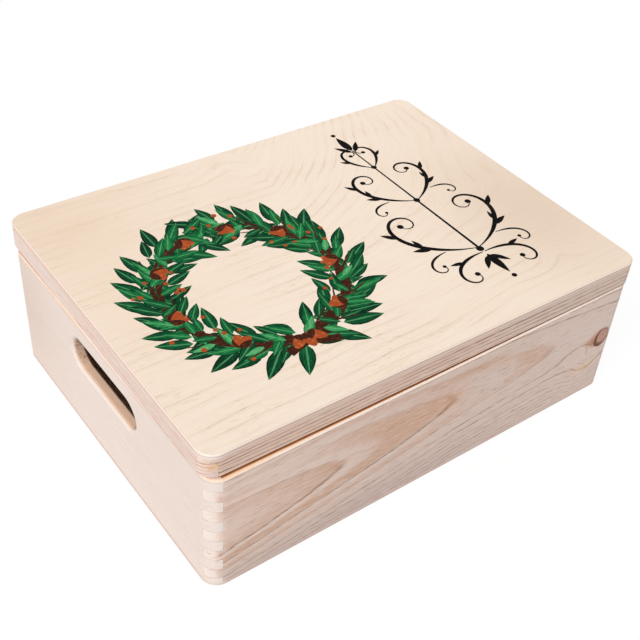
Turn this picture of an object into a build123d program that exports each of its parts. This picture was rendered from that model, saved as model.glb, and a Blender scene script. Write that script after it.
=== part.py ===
from build123d import *
from math import atan2, cos, radians, sin, tan
import os

# A finger-jointed pine keepsake box with a hand hole in each end and a shallow
# lid hung on two brass butt hinges. Millimetres, +Z up, the front faces -Y, and
# the origin is the middle of the underside.

# Carcass
box_length = 397.0
box_depth = 298.0
rim_height = 109.5
wall = 10.0
bottom_thickness = 4.0
corner_radius = 13.0
rim_arris = 1.2
foot_arris = 1.0

# Finger joints: the heights are those of the joint lines above the underside
first_joint_line = 9.0
finger_pitch = 10.0
smallest_finger = 4.0

# Hand holes
hand_hole_length = 96.0
hand_hole_height = 27.0
hand_hole_middle = 78.5
hand_hole_round = 4.0
hand_hole_inner_arris = 1.5

# Lid: it is a little longer and deeper than the carcass
lid_end_overhang = 1.5
lid_long_overhang = 1.0
lid_rail_height = 18.0
lid_top_thickness = 4.0
lid_upper_finger = 4.0
lid_top_arris = 1.0
lid_rim_arris = 1.5

# How the lid lies on the carcass: it rests on the front rim, stands off the
# back rim on its hinge leaves, and is hung a little back, aside and askew
lid_front_gap = 0.3
lid_setback = 1.5
lid_sidestep = 0.8
lid_skew = -0.48

# Hinges
hinge_width = 30.0
hinge_inset = 70.0
leaf_thickness = 0.9
leaf_gap = 0.4
leaf_reach = 12.4
knuckle_count = 3
knuckle_play = 0.3
barrel_gap = 0.4
pin_radius = 1.0
pin_clearance = 0.05
pin_head_radius = 1.6
pin_head_height = 0.6

# Hinge screws
screw_reach = 9.6
screw_spacing = 18.0
screw_length = 9.0
screw_head_radius = 1.8
screw_shank_radius = 0.9
screw_clearance = 0.05

# Worked-out places
knuckle_radius = pin_radius + pin_clearance + leaf_thickness
knuckle_length = (hinge_width - (knuckle_count - 1) * knuckle_play) / knuckle_count
hinge_middle = box_length / 2 - hinge_inset
lid_rear_gap = 2 * leaf_thickness + leaf_gap
lid_length = box_length + 2 * lid_end_overhang
lid_depth = box_depth + 2 * lid_long_overhang
lid_tilt = atan2(lid_rear_gap - lid_front_gap, box_depth)
lid_height = lid_rail_height + lid_top_thickness
lid_middle_y = (lid_depth - box_depth) / 2 + lid_setback
lid_rear = lid_middle_y + lid_depth / 2 + (hinge_middle + hinge_width / 2) * abs(tan(radians(lid_skew)))
pin_y = lid_rear + barrel_gap + knuckle_radius
gap_at_pin = lid_front_gap + (pin_y + box_depth / 2) * tan(lid_tilt)
base_seat_drop = gap_at_pin / 2
lid_seat_drop = base_seat_drop * cos(lid_tilt)
pin_z = rim_height + base_seat_drop
wall_height = rim_height - bottom_thickness

# The lid's own plane: its underside, with the lid's middle as origin
lid_seat = Plane(
    origin=(0, -box_depth / 2, rim_height + lid_front_gap),
    x_dir=(1, 0, 0),
    z_dir=(0, -sin(lid_tilt), cos(lid_tilt)),
)
lid_middle = Location((lid_sidestep, lid_middle_y + box_depth / 2, 0), (0, 0, lid_skew))
lid_plane = Plane(lid_seat.location * lid_middle)


def finger_rows(bottom, first_line, top):
    """The rows between joint lines, from the bottom up; even rows belong to the end walls."""
    lines = [bottom]
    line = first_line
    while line < top - smallest_finger:
        lines.append(line)
        line += finger_pitch
    lines.append(top)
    return list(zip(lines, lines[1:]))


def corner_fingers(plane, length, depth, rows):
    """The blocks that fill the given rows at all four corners of a frame of boards."""
    with BuildPart() as fingers:
        for low, high in rows:
            with BuildSketch(plane.offset(low)):
                with GridLocations(length - wall, depth - wall, 2, 2):
                    Rectangle(wall, wall)
            extrude(amount=high - low)
    return fingers.part


def rounded_envelope(plane, length, depth, height, top_arris, bottom_arris):
    """The outside of the carcass or the lid with its arrises taken off, which trims every piece of it."""
    upwards = Axis(plane.origin, plane.z_dir)
    with BuildPart() as envelope:
        with BuildSketch(plane):
            RectangleRounded(length, depth, corner_radius)
        extrude(amount=height)
        chamfer(envelope.faces().sort_by(upwards)[-1].edges(), top_arris)
        chamfer(envelope.faces().sort_by(upwards)[0].edges(), bottom_arris)
    return envelope.part


def hinge_planes(x):
    """Planes square to the pin at x, for the base leaf and the lid leaf.

    In both, X runs forward along the leaf and -Y points at the wood under it.
    """
    pin_middle = (x, pin_y, pin_z)
    base_side = Plane(origin=pin_middle, x_dir=(0, -1, 0), z_dir=(-1, 0, 0))
    lid_side = Plane(
        origin=pin_middle,
        x_dir=(0, -cos(lid_tilt), -sin(lid_tilt)),
        z_dir=(1, 0, 0),
    )
    return base_side, lid_side


def screw_places(pin_plane, seat_drop):
    """Planes on the face of a leaf, one for each of its screws, facing out of the wood."""
    leaf_face = leaf_thickness - seat_drop
    return [
        Plane(origin=pin_plane.from_local_coords((screw_reach, leaf_face, along)), z_dir=pin_plane.y_dir)
        for along in (-screw_spacing / 2, screw_spacing / 2)
    ]


def hinge_leaf(pin_plane, seat_drop, first_knuckle):
    """A leaf with every second knuckle, counted from first_knuckle."""
    plate_start = knuckle_radius + knuckle_play
    leaf_line = leaf_thickness / 2 - seat_drop
    with BuildPart() as leaf:
        with BuildSketch(pin_plane.offset(-hinge_width / 2)):
            with Locations(((plate_start + leaf_reach) / 2, leaf_line)):
                Rectangle(leaf_reach - plate_start, leaf_thickness)
        extrude(amount=hinge_width)
        for knuckle in range(first_knuckle, knuckle_count, 2):
            start = knuckle * (knuckle_length + knuckle_play) - hinge_width / 2
            with BuildSketch(pin_plane.offset(start)):
                Circle(knuckle_radius)
                with Locations((plate_start / 2, leaf_line)):
                    Rectangle(plate_start, leaf_thickness)
            extrude(amount=knuckle_length)
        with BuildSketch(pin_plane.offset(-hinge_width / 2)):
            Circle(pin_radius + pin_clearance)
        extrude(amount=hinge_width, mode=Mode.SUBTRACT)
        with Locations(*screw_places(pin_plane, seat_drop)):
            CounterSinkHole(
                radius=screw_shank_radius + screw_clearance,
                counter_sink_radius=screw_head_radius + screw_clearance,
                depth=2 * leaf_thickness,
                counter_sink_angle=90,
            )
    return leaf.part


os.makedirs("parts", exist_ok=True)

# ---- Carcass ----

base_rows = finger_rows(bottom_thickness, first_joint_line, rim_height)
base_envelope = rounded_envelope(Plane.XY, box_length, box_depth, rim_height, rim_arris, foot_arris)
hinges = {"left": hinge_planes(-hinge_middle), "right": hinge_planes(hinge_middle)}
base_screw_places = []
lid_screw_places = []
for base_side, lid_side in hinges.values():
    base_screw_places += screw_places(base_side, base_seat_drop)
    lid_screw_places += screw_places(lid_side, lid_seat_drop)

with BuildPart() as bottom_panel:
    with BuildSketch():
        Rectangle(box_length, box_depth)
    extrude(amount=bottom_thickness)
    add(base_envelope, mode=Mode.INTERSECT)
bottom_panel.part.label = "bottom_panel"
export_step(bottom_panel.part, "parts/bottom_panel.step")

with BuildPart() as front_wall:
    with BuildSketch(Plane.XY.offset(bottom_thickness)):
        with Locations((0, (wall - box_depth) / 2)):
            Rectangle(box_length, wall)
    extrude(amount=wall_height)
    add(corner_fingers(Plane.XY, box_length, box_depth, base_rows[0::2]), mode=Mode.SUBTRACT)
    add(base_envelope, mode=Mode.INTERSECT)
front_wall.part.label = "front_wall"
export_step(front_wall.part, "parts/front_wall.step")

with BuildPart() as back_wall:
    mirror(front_wall.part, about=Plane.XZ)
    with Locations(*base_screw_places):
        Hole(radius=screw_shank_radius + screw_clearance, depth=screw_length + screw_clearance)
back_wall.part.label = "back_wall"
export_step(back_wall.part, "parts/back_wall.step")

with BuildPart() as left_wall:
    with BuildSketch(Plane.XY.offset(bottom_thickness)):
        with Locations(((wall - box_length) / 2, 0)):
            Rectangle(wall, box_depth)
    extrude(amount=wall_height)
    add(corner_fingers(Plane.XY, box_length, box_depth, base_rows[1::2]), mode=Mode.SUBTRACT)
    add(base_envelope, mode=Mode.INTERSECT)
    with BuildSketch(Plane.YZ.offset(-box_length / 2)):
        with Locations((0, hand_hole_middle)):
            SlotOverall(hand_hole_length, hand_hole_height)
    extrude(amount=wall, mode=Mode.SUBTRACT)
    outer_face = left_wall.faces().filter_by(Axis.X).sort_by(Axis.X)[0]
    fillet(outer_face.inner_wires()[0].edges(), hand_hole_round)
    inner_face = left_wall.faces().filter_by(Axis.X).sort_by(Axis.X)[-1]
    chamfer(inner_face.inner_wires()[0].edges(), hand_hole_inner_arris)
left_wall.part.label = "left_wall"
export_step(left_wall.part, "parts/left_wall.step")

with BuildPart() as right_wall:
    mirror(left_wall.part, about=Plane.YZ)
right_wall.part.label = "right_wall"
export_step(right_wall.part, "parts/right_wall.step")

# ---- Lid ----

lid_joint_line = lid_rail_height - lid_upper_finger
lid_rows = [(0, lid_joint_line), (lid_joint_line, lid_rail_height)]
lid_envelope = rounded_envelope(lid_plane, lid_length, lid_depth, lid_height, lid_top_arris, lid_rim_arris)
lid_across = Plane(origin=lid_plane.origin, x_dir=lid_plane.x_dir, z_dir=lid_plane.y_dir)
lid_along = Plane(origin=lid_plane.origin, x_dir=lid_plane.y_dir, z_dir=lid_plane.x_dir)

with BuildPart() as lid_top_panel:
    with BuildSketch(lid_plane.offset(lid_rail_height)):
        Rectangle(lid_length, lid_depth)
    extrude(amount=lid_top_thickness)
    add(lid_envelope, mode=Mode.INTERSECT)
lid_top_panel.part.label = "lid_top_panel"
export_step(lid_top_panel.part, "parts/lid_top_panel.step")

with BuildPart() as lid_front_rail:
    with BuildSketch(lid_plane):
        with Locations((0, (wall - lid_depth) / 2)):
            Rectangle(lid_length, wall)
    extrude(amount=lid_rail_height)
    add(corner_fingers(lid_plane, lid_length, lid_depth, lid_rows[0::2]), mode=Mode.SUBTRACT)
    add(lid_envelope, mode=Mode.INTERSECT)
lid_front_rail.part.label = "lid_front_rail"
export_step(lid_front_rail.part, "parts/lid_front_rail.step")

with BuildPart() as lid_back_rail:
    mirror(lid_front_rail.part, about=lid_across)
    with Locations(*lid_screw_places):
        Hole(radius=screw_shank_radius + screw_clearance, depth=screw_length + screw_clearance)
lid_back_rail.part.label = "lid_back_rail"
export_step(lid_back_rail.part, "parts/lid_back_rail.step")

with BuildPart() as lid_left_rail:
    with BuildSketch(lid_plane):
        with Locations(((wall - lid_length) / 2, 0)):
            Rectangle(wall, lid_depth)
    extrude(amount=lid_rail_height)
    add(corner_fingers(lid_plane, lid_length, lid_depth, lid_rows[1::2]), mode=Mode.SUBTRACT)
    add(lid_envelope, mode=Mode.INTERSECT)
lid_left_rail.part.label = "lid_left_rail"
export_step(lid_left_rail.part, "parts/lid_left_rail.step")

with BuildPart() as lid_right_rail:
    mirror(lid_left_rail.part, about=lid_along)
lid_right_rail.part.label = "lid_right_rail"
export_step(lid_right_rail.part, "parts/lid_right_rail.step")

# ---- Hinges ----

for side, (base_side, lid_side) in hinges.items():
    base_leaf = hinge_leaf(base_side, base_seat_drop, first_knuckle=0)
    base_leaf.label = f"hinge_{side}_base_leaf"
    export_step(base_leaf, f"parts/hinge_{side}_base_leaf.step")

    lid_leaf = hinge_leaf(lid_side, lid_seat_drop, first_knuckle=1)
    lid_leaf.label = f"hinge_{side}_lid_leaf"
    export_step(lid_leaf, f"parts/hinge_{side}_lid_leaf.step")

    # A wire pin, headed over the outer knuckles at both ends
    with BuildPart() as hinge_pin:
        with BuildSketch(base_side.offset(-hinge_width / 2)):
            Circle(pin_radius)
        extrude(amount=hinge_width)
        for end in (-hinge_width / 2 - pin_head_height, hinge_width / 2):
            with BuildSketch(base_side.offset(end)):
                Circle(pin_head_radius)
            extrude(amount=pin_head_height)
    hinge_pin.part.label = f"hinge_{side}_pin"
    export_step(hinge_pin.part, f"parts/hinge_{side}_pin.step")

# ---- Screws ----

with BuildPart() as screw:
    with BuildSketch(Plane.XZ):
        with BuildLine():
            Polyline(
                (0, 0),
                (screw_head_radius, 0),
                (screw_shank_radius, screw_shank_radius - screw_head_radius),
                (screw_shank_radius, -screw_length),
                (0, -screw_length),
                close=True,
            )
        make_face()
    revolve(axis=Axis.Z)

with BuildPart() as hinge_base_screws:
    with Locations(*base_screw_places):
        add(screw.part)
hinge_base_screws.part.label = "hinge_base_screws"
export_step(hinge_base_screws.part, "parts/hinge_base_screws.step")

with BuildPart() as hinge_lid_screws:
    with Locations(*lid_screw_places):
        add(screw.part)
hinge_lid_screws.part.label = "hinge_lid_screws"
export_step(hinge_lid_screws.part, "parts/hinge_lid_screws.step")
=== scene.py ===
import math
import random

import bmesh
import bpy
from mathutils import Matrix, Vector


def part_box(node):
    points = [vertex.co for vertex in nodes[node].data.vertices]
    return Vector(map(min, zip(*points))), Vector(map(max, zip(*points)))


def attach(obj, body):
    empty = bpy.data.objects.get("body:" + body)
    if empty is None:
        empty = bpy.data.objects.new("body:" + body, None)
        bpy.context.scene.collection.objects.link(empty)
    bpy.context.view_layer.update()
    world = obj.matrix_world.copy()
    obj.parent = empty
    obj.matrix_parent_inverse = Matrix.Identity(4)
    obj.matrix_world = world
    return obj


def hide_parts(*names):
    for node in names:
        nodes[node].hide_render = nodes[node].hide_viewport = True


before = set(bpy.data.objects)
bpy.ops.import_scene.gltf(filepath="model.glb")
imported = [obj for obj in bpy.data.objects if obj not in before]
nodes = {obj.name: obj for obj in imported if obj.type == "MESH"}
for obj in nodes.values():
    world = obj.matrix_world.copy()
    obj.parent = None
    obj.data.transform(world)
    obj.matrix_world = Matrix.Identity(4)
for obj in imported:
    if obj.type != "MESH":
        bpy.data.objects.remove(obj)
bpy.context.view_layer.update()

MM = 0.001
RIGHT, BACK, UP = Vector((1, 0, 0)), Vector((0, 1, 0)), Vector((0, 0, 1))

# How the boards are joined, in millimetres
WALL = 10.0
RAIL = 10.0
FIRST_JOINT = 9.0
FINGER_PITCH = 10.0
LID_JOINT = 14.0

# ---------------------------------------------------------------- colours


def linear(red, green, blue):
    """A screen colour, written as 0-255 values, as the linear RGBA that sockets take."""
    def channel(value):
        value /= 255
        return value / 12.92 if value <= 0.04045 else ((value + 0.055) / 1.055) ** 2.4
    return channel(red), channel(green), channel(blue), 1.0


# ---------------------------------------------------------------- shader maths


class Wire:
    """A node's output that can be reckoned with: each operator adds its Math node."""

    def __init__(self, tree, socket):
        self.tree = tree
        self.socket = socket

    def node(self, kind, settings=None, inputs=None, output=0):
        """A new node, its settings made first, then its sockets given values or links."""
        made = self.tree.nodes.new(kind)
        for name, value in (settings or {}).items():
            if name == "stops":
                set_stops(made.color_ramp, value)
            else:
                setattr(made, name, value)
        for name, value in (inputs or {}).items():
            feed(made, name, value)
        return Wire(self.tree, made.outputs[output])

    def beside(self, output):
        """Another output of the same node."""
        return Wire(self.tree, self.socket.node.outputs[output])

    def math(self, operation, *others):
        inputs = dict(enumerate((self,) + others))
        return self.node("ShaderNodeMath", {"operation": operation}, inputs)

    def __add__(self, other):
        return self.math("ADD", other)

    def __sub__(self, other):
        return self.math("SUBTRACT", other)

    def __rsub__(self, other):
        return self.node("ShaderNodeMath", {"operation": "SUBTRACT"}, {0: other, 1: self})

    def __mul__(self, other):
        return self.math("MULTIPLY", other)

    def __truediv__(self, other):
        return self.math("DIVIDE", other)

    def __abs__(self):
        return self.math("ABSOLUTE")

    __radd__ = __add__
    __rmul__ = __mul__

    def squared(self):
        return self * self

    def at_least(self, other):
        return self.math("MAXIMUM", other)

    def at_most(self, other):
        return self.math("MINIMUM", other)

    def within(self, low, high):
        return self.at_least(low).at_most(high)

    def root(self):
        return self.math("SQRT")

    def fraction(self):
        return self.math("FRACT")

    def step(self, low, high):
        """0 below low and 1 above high, smooth between; high may be the lower of the two."""
        inputs = {"Value": self, "From Min": low, "From Max": high}
        return self.node("ShaderNodeMapRange", {"interpolation_type": "SMOOTHSTEP"}, inputs)

    def dot(self, axis):
        """How far a vector reaches along an axis."""
        return self.node("ShaderNodeVectorMath", {"operation": "DOT_PRODUCT"}, {0: self, 1: axis}, output=1)

    def ramp(self, stops):
        return self.node("ShaderNodeValToRGB", {"stops": stops}, {"Fac": self})

    def tint(self, other, share):
        """This colour mixed towards a Wire or a screen colour, by a share from 0 to 1."""
        inputs = {0: share, 6: self, 7: other if isinstance(other, Wire) else linear(*other)}
        return self.node("ShaderNodeMix", {"data_type": "RGBA"}, inputs, output=2)


def feed(node, name, value):
    """Gives a node's input a link from a Wire, or a plain value."""
    if isinstance(value, Wire):
        value.tree.links.new(value.socket, node.inputs[name])
    else:
        node.inputs[name].default_value = value


def set_stops(color_ramp, stops):
    """Puts (position, value or screen colour) stops on a ramp."""
    elements = color_ramp.elements
    while len(elements) < len(stops):
        elements.new(0.5)
    for element, (position, value) in zip(elements, stops):
        element.position = position
        element.color = linear(*value) if isinstance(value, tuple) else (value, value, value, 1.0)


def noise(u, v, w, sizes, seed, detail=2.0):
    """Noise whose blots have the given sizes in millimetres along, across and into a board, from -1 to 1."""
    scaled = u.node(
        "ShaderNodeCombineXYZ",
        inputs={0: u / sizes[0] + seed, 1: v / sizes[1] + seed * 1.7, 2: w / sizes[2] + seed * 2.3},
    )
    value = u.node(
        "ShaderNodeTexNoise",
        inputs={"Vector": scaled, "Scale": 1.0, "Detail": detail, "Roughness": 0.5},
    )
    return (value - 0.5) * 2


class Surface:
    """A new material, with Wires from its Object place and its Normal."""

    def __init__(self, name):
        self.material = bpy.data.materials.new(name)
        self.material.use_nodes = True
        tree = self.material.node_tree
        self.shader = tree.nodes["Principled BSDF"]
        source = tree.nodes.new("ShaderNodeTexCoord")
        self.place = Wire(tree, source.outputs["Object"])
        self.normal = Wire(tree, source.outputs["Normal"])

    def plain(self, colour):
        """A screen colour by itself."""
        wire = self.place.node("ShaderNodeRGB")
        wire.socket.default_value = linear(*colour)
        return wire

    def base(self, colour):
        """Starts the surface's colour with the one that all others are laid over."""
        self.colour = self.plain(colour)

    def lay(self, colour, share):
        """Lays a colour or a Wire over the surface's colour, by a share from 0 to 1."""
        self.colour = self.colour.tint(colour, share)

    def relief(self, height, strength, depth):
        """Shades the surface as if it had a relief of a depth in millimetres."""
        inputs = {"Strength": strength, "Distance": depth * MM, "Height": height}
        feed(self.shader, "Normal", height.node("ShaderNodeBump", inputs=inputs))

    def finish(self, roughness, gloss=0.5, metallic=0.0):
        """The material, with its colour, its roughness, its gloss and how much of a metal it is."""
        feed(self.shader, "Base Color", self.colour)
        feed(self.shader, "Roughness", roughness)
        feed(self.shader, "Specular IOR Level", gloss)
        feed(self.shader, "Metallic", metallic)
        return self.material


class Face(Surface):
    """A board's material, with the place along its grain, across it and outwards, in millimetres."""

    def __init__(self, name, board, seed):
        super().__init__(name)
        origin, self.along, across, self.out = board
        self.u, self.v, self.w = (
            (self.place.dot(axis) - origin.dot(axis)) * (1 / MM) for axis in (self.along, across, self.out)
        )
        self.seed = seed

    def facing(self, axis):
        """How much the surface faces along an axis, from -1 to 1."""
        return self.normal.dot(axis)

    def blots(self, sizes, offset, lie=None, detail=2.0):
        """Noise of a board's own, which follows its growth lines where lie says how they run."""
        across = self.v if lie is None else lie
        return noise(self.u, across, self.w, sizes, self.seed + offset, detail)

    def bell(self, middle, half):
        """1 at the middle of a round or oval patch, fading to nothing at about twice its half size."""
        away = ((self.u - middle[0]) / half[0]).squared() + ((self.v - middle[1]) / half[1]).squared()
        return (away * -1).math("EXPONENT")


# ---------------------------------------------------------------- how the lid lies


def lid_axes():
    """The lid's own right, back and up, read from the flat top of its panel."""
    mesh = nodes["lid_top_panel"].data
    top = max(mesh.polygons, key=lambda face: face.normal.z * face.area)
    up = top.normal.normalized()
    corners = [vertex.co for vertex in mesh.vertices]

    def level_length(run):
        """The length of an edge that lies flat and runs nearly from left to right, and 0 for others."""
        return abs(run.x) if abs(run.dot(up)) < MM and abs(run.y) < abs(run.x) / 20 else 0

    longest = max((corners[b] - corners[a] for a, b in mesh.edge_keys), key=level_length)
    right = (longest - up * longest.dot(up)).normalized()
    if right.x < 0:
        right = -right
    return Matrix((right, up.cross(right), up)).transposed()


LID_TURN = lid_axes()
NO_TURN = Matrix.Identity(3)


def board_frame(node, turn, along, out):
    """The middle of a board's outer face, and its axes along the grain, across it and outwards."""
    low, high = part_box(node)
    middle = (low + high) / 2
    along = turn @ along
    out = turn @ out
    reach = max(vertex.co.dot(out) for vertex in nodes[node].data.vertices)
    origin = middle + out * (reach - middle.dot(out))
    return origin, along, out.cross(along), out


# ---------------------------------------------------------------- pine

ORANGE = (226, 160, 104)
GREYED = (226, 202, 190)
LIGHT = (255, 240, 228)
KNOT_HEART = (204, 158, 142)
KNOT_RING = (110, 64, 36)
KNOT_HALO = (190, 130, 100)
# Painted shade: the brown laid where the gap between the lid and the rim lies in shadow
GAP_SHADE = (150, 88, 44)
# Painted highlight and painted warm glow on the rim's lip
RIM_HIGHLIGHT = (247, 228, 212)
RIM_GLOW = (248, 184, 112)
# Painted shade on a hand hole's lip
HOLE_LIP_SHADE = (226, 188, 158)
HOLE_END = (150, 98, 62)
END_ARC = (216, 150, 102)
SEAM = (138, 98, 70)

RINGS_ON_A_RAMP = 8
PINE_GLOSS = 0.35


def ring_bands(tip, rings, rise, fall):
    """A band for each growth ring, which climbs towards the ring's edge and ends there.

    rings are (tip, width, strength): where the ring's edge lies, how far before it the band starts
    and how strong it ends. rise is the share of the width left when the band is nearly that strong,
    unless a ring gives its own as a fourth number; fall is how far past the edge it ends.
    """
    total = None
    for first in range(0, len(rings), RINGS_ON_A_RAMP):
        part = rings[first:first + RINGS_ON_A_RAMP]
        low = part[0][0] - part[0][1] - 1
        high = part[-1][0] + fall + 1
        stops = []
        for edge, width, strength, *own_rise in part:
            climb = width * (own_rise[0] if own_rise else rise)
            stops += [(edge - width, 0.0), (edge - climb, strength * 0.8)]
            stops += [(edge - climb * 0.3, strength), (edge + fall, 0.0)]
        stops = [((place - low) / (high - low), value) for place, value in stops]
        bands = ((tip - low) / (high - low)).ramp(stops)
        total = bands if total is None else total + bands
    return total


def flames(face):
    """Flat-sawn figure: rings that the board cuts nearly along, so that each ends in a flame.

    Gives the soft brown of each ring's late wood, and the thin dark line at its edge.
    """
    wood = face.wood
    middle = (wood["bend"] - face.u).at_least(0) * -wood["lean"] + wood["height"]
    reach = face.lie - middle
    ragged = face.blots((24, 1.3, 1.3), 9, face.lie) * wood["rag"]
    tip = face.u + face.w / wood["dive"] + reach.squared() / wood["spread"] + ragged
    fill = ring_bands(tip, wood["fills"], 0.15, 3.0)
    lines = ring_bands(tip, wood["lines"], 0.35, 4.0)
    fade = face.blots((70, 45, 500), 3.3, tip).step(-0.75, 0.35)
    above = reach.step(-6, 5) * tip.step(190, 130) * 0.75
    return fill, lines * (fade * 0.7 + 0.3) * (1 - above)


def straight(face):
    """Rift-sawn figure: rings that run nearly parallel to the board's edges."""
    wood = face.wood
    depth = face.lie + face.w * wood["lean"]
    rings = depth + face.blots((400, 26, 400), 2, depth) * wood["spacing"] * 1.6
    rings = rings / wood["spacing"] + 50 + wood["phase"]
    share = rings.fraction()
    row = rings.math("FLOOR") * 31.7
    strength = noise(face.u, row, face.w * 0, (130, 9.3, 400), face.seed + 3.3, detail=1.0)
    strength = (strength * 1.1 + wood["even"]).within(0.1, 1.0)
    fill = share.ramp([(0.0, 0.5), (0.06, 0.05), (0.4, 0.0), (0.8, 0.5), (0.97, 1.0), (1.0, 0.5)])
    line = share.ramp([(0.0, 0.5), (0.04, 0.0), (0.7, 0.0), (0.86, 0.9), (0.98, 1.0), (1.0, 0.5)])
    return fill * strength * wood["fill"], line * strength * wood["line"]


class PineFace(Face):
    """A pine board's surface, with its growth lines, its fibre and its blushes."""

    def __init__(self, name, board, wood):
        super().__init__(name, board, wood["seed"])
        self.wood = wood
        joint = wood["joint"]
        self.top = joint["highest"] - joint["middle"]
        self.share = self.u / (joint["reach"] * 2) + 0.5
        self.upward = self.facing(UP)
        self.outward = self.facing(self.out)
        self.endward = abs(self.facing(self.along))

        lie = self.v
        for middle, half, lift in wood["swells"]:
            lie = lie - self.bell(middle, half) * lift
        lie = lie + self.blots((150, 40, 40), 0, lie) * wood["wave"]
        self.lie = lie + self.blots((13, 1.4, 1.4), 7.1, lie) * wood["jag"]
        self.fill, self.line = wood["figure"](self)
        for middle, half, share in wood["quiet"]:
            calm = self.bell(middle, half) * -share + 1
            self.fill, self.line = self.fill * calm, self.line * calm
        self.fibre = self.blots((10, 0.9, 0.9), 11, self.lie)
        self.grain = self.blots((34, 0.5, 0.5), 13, self.lie, detail=3.0)
        self.blush = self.blots((70, 24, 24), 17)

    def between(self, start, end):
        """A value that changes evenly from one end of the board to the other."""
        return self.share * (end - start) + start


def sawn_colour(face):
    """The board's pale wood, with its patches, its brown bands, its growth lines and its fibre."""
    wood, fill, line, fibre = face.wood, face.fill, face.line, face.fibre
    face.base(wood["pale"])
    face.lay(wood["tan"], (face.blush * 0.22).at_least(0))
    face.lay(wood["grey"], (face.blush * -0.3).at_least(0))
    for middle, half, tone, share in wood["patches"]:
        face.lay(tone, face.bell(middle, half) * share)
    bands = face.blots((60, 2.6, 2.6), 15, face.lie)
    stain = fill * (bands * 0.45 + 1) + (fibre * 0.26 + face.grain * 0.2) * (fill + 0.3)
    face.lay(wood["tan"], stain.within(0, 1))
    face.lay(ORANGE, (bands * fill - 0.12).at_least(0) * wood["amber"])
    face.lay(wood["line_colour"], (line + fibre * line * 0.9).within(0, 1))
    face.lay(wood["line_colour"], (fibre - 0.16).within(0, 0.5) * wood["dashes"])
    face.lay(wood["light"], (fibre * -1 - 0.12).within(0, 0.5) * wood["dashes"])


def knot_marks(face):
    """A branch cut across: a dark bark ring, a paler heart and a stain on the side it leans to."""
    (knot_u, knot_v), (half_u, half_v) = face.wood["knot"]
    bend = face.blots((7, 7, 7), 19) * 0.13
    round_u = (face.u - knot_u) / half_u
    round_v = (face.v - knot_v) / half_v
    ring = (round_u.squared() + round_v.squared()).root() + bend
    stain_u = (face.u - knot_u + half_u * 0.9) / (half_u * 1.5)
    stain = (stain_u.squared() + (round_v / (stain_u * 0.35 + 0.95)).squared()).root() + bend * 2
    speckle = face.blots((1.2, 1.2, 1.2), 23)
    face.lay(KNOT_HALO, stain.step(1.2, 0.35) * (speckle * 0.25 + 0.85))
    face.lay(KNOT_HEART, ring.step(1.02, 0.9))
    inner = (ring * 3.1).fraction().step(0.5, 0.95) * 0.45 + (speckle * 0.6).at_least(0)
    face.lay(KNOT_RING, ring.step(1.0, 0.85) * inner.at_most(1))
    dark_side = (round_u * -0.4 - round_v * 0.3 + 0.72).within(0.4, 1.0)
    thick = 0.78 - dark_side * 0.22
    inward = ((ring - thick) / 0.2).within(0, 1)
    face.lay(KNOT_RING, inward * ring.step(1.14, 1.0) * dark_side)


def end_marks(face):
    """End grain at a board's ends and round its corners, with the arcs of its growth rings; a board's corner
    colour is a painted highlight on its rounded corner.
    """
    wood = face.wood
    end = face.endward.step(0.35, 0.95)
    pores = face.blots((6, 0.8, 2.2), 27)
    tip = face.plain(wood["end"]).tint(wood["end_low"] or wood["end"], face.v.step(5, -7))
    face.lay(tip, end * wood["end_share"])
    warm = (face.fill * 0.1 + pores * 0.12 + face.blush * 0.08).at_least(0)
    face.lay(ORANGE, end * warm * wood["end_share"])
    if wood["corner"]:
        # Painted highlight: the rounded corner, which turns towards the key light, is laid paler
        turned = face.outward.step(0.97, 0.75) * face.outward.step(0.02, 0.15)
        face.lay(wood["corner"], turned * 0.75)
        end = end.at_least(turned)
    arcs = (face.blots((40, 16, 24), 31) * 8 + 20).fraction()
    arcs = arcs.ramp([(0.0, 0.0), (0.75, 0.0), (0.93, 1.0), (1.0, 0.0)])
    faint = face.blots((16, 12, 12), 33).step(-0.15, 0.3)
    face.lay(END_ARC, end * arcs * faint * 0.7)


def rim_light_marks(face):
    """Painted highlight and painted warm glow on the rim's lip, which may change from one end of the board
    to the other.
    """
    lip = face.v.step(face.top - 4, face.top - 1.5) * face.upward.step(0.15, 0.75)
    face.lay(RIM_HIGHLIGHT, lip * face.between(*face.wood["pale_rim"]))
    warm = lip * (face.blush * 0.3 + face.fibre * 0.4 + face.between(*face.wood["rim"]))
    face.lay(RIM_GLOW, warm.within(0, 0.9))


def foot_marks(face):
    """Painted shade: a brown band on a rail's lower arris and the foot of its face, for the shadow in the
    gap over the rim.
    """
    slope = face.upward.step(-0.98, -0.85)
    under = (face.upward.step(0.0, -0.06) * slope).at_least(face.v.step(-6.9, -7.7) * 0.6)
    face.lay(GAP_SHADE, under * slope * face.wood["scorched_foot"])


def rim_line(face):
    """Painted shade: the brown strip of shadow on the rim where the lid's edge lies, with a painted warm
    glow beside it, and a thin darker line under the rim's arris.
    """
    start, end, darkness, warmth = face.wood["rim_line"]
    inner = face.w - face.between(start, end)
    flat = face.v.step(face.top, face.top + 0.8) * face.upward.step(0.8, 0.96)
    band = flat * inner.step(-2.6, -2.0)
    # Painted warm glow, then painted shade over it, on the rim where the lid's edge lies
    face.lay(RIM_GLOW, band * inner.step(1.9, 0.7) * warmth)
    mottled = (face.fibre * 0.3 + 0.95).at_most(1)
    face.lay(GAP_SHADE, band * inner.step(1.1, 0.1) * mottled * darkness)
    below = face.v - face.top
    under = below.step(-1.5, -1.0) * below.step(-0.2, -0.6) * face.upward.step(0.5, 0.2)
    face.lay(face.wood["line_colour"], under * (face.fibre + 0.45).at_least(0) * warmth)


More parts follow.
